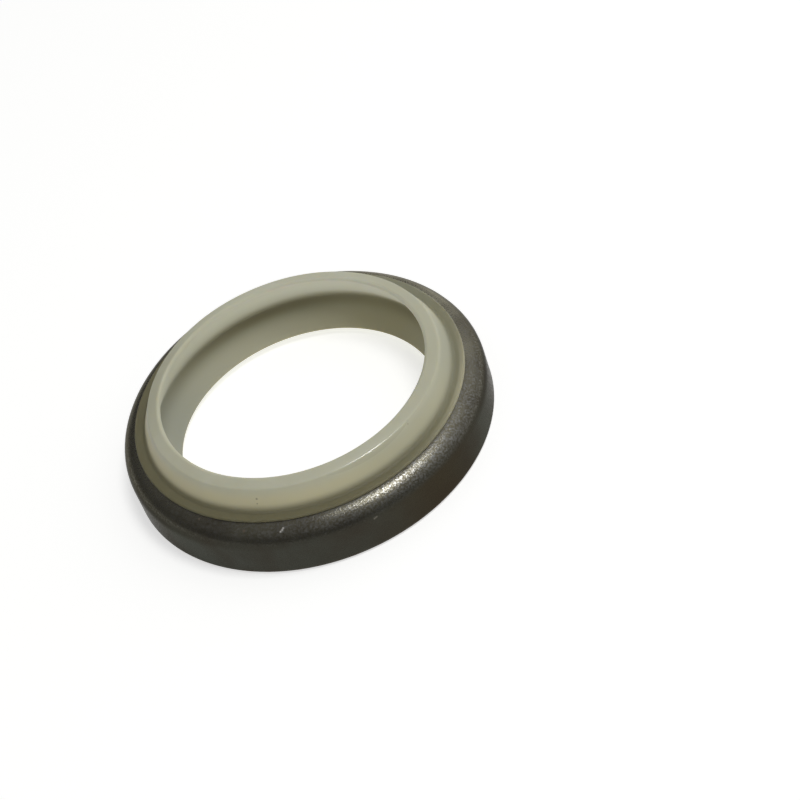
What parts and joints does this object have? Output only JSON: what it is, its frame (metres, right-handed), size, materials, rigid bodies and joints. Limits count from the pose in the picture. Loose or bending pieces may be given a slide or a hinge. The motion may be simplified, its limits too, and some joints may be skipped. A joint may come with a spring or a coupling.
{
  "type": "hydraulic wiper seal",
  "caption": "Metal-cased rod wiper ring: a drawn steel shell with rounded shoulder and a bonded cream polyurethane wiping element with a raised dust lip and an inner oil lip.",
  "frame": {"origin": "on the ring's axis, in the plane of the case's open rim", "axes": "+Z along the ring's axis, from the open rim (cylinder side) to the wiping lip (air side)"},
  "size_m": [0.047, 0.047, 0.01],
  "materials": {
    "phosphated_steel": "dark phosphate coat, satin and finely grained",
    "polyurethane": "moulded, satin, slightly translucent"
  },
  "bodies": {
    "root": {"metal_case": "phosphated_steel", "wiper_element": "polyurethane"}
  },
  "joints": []
}
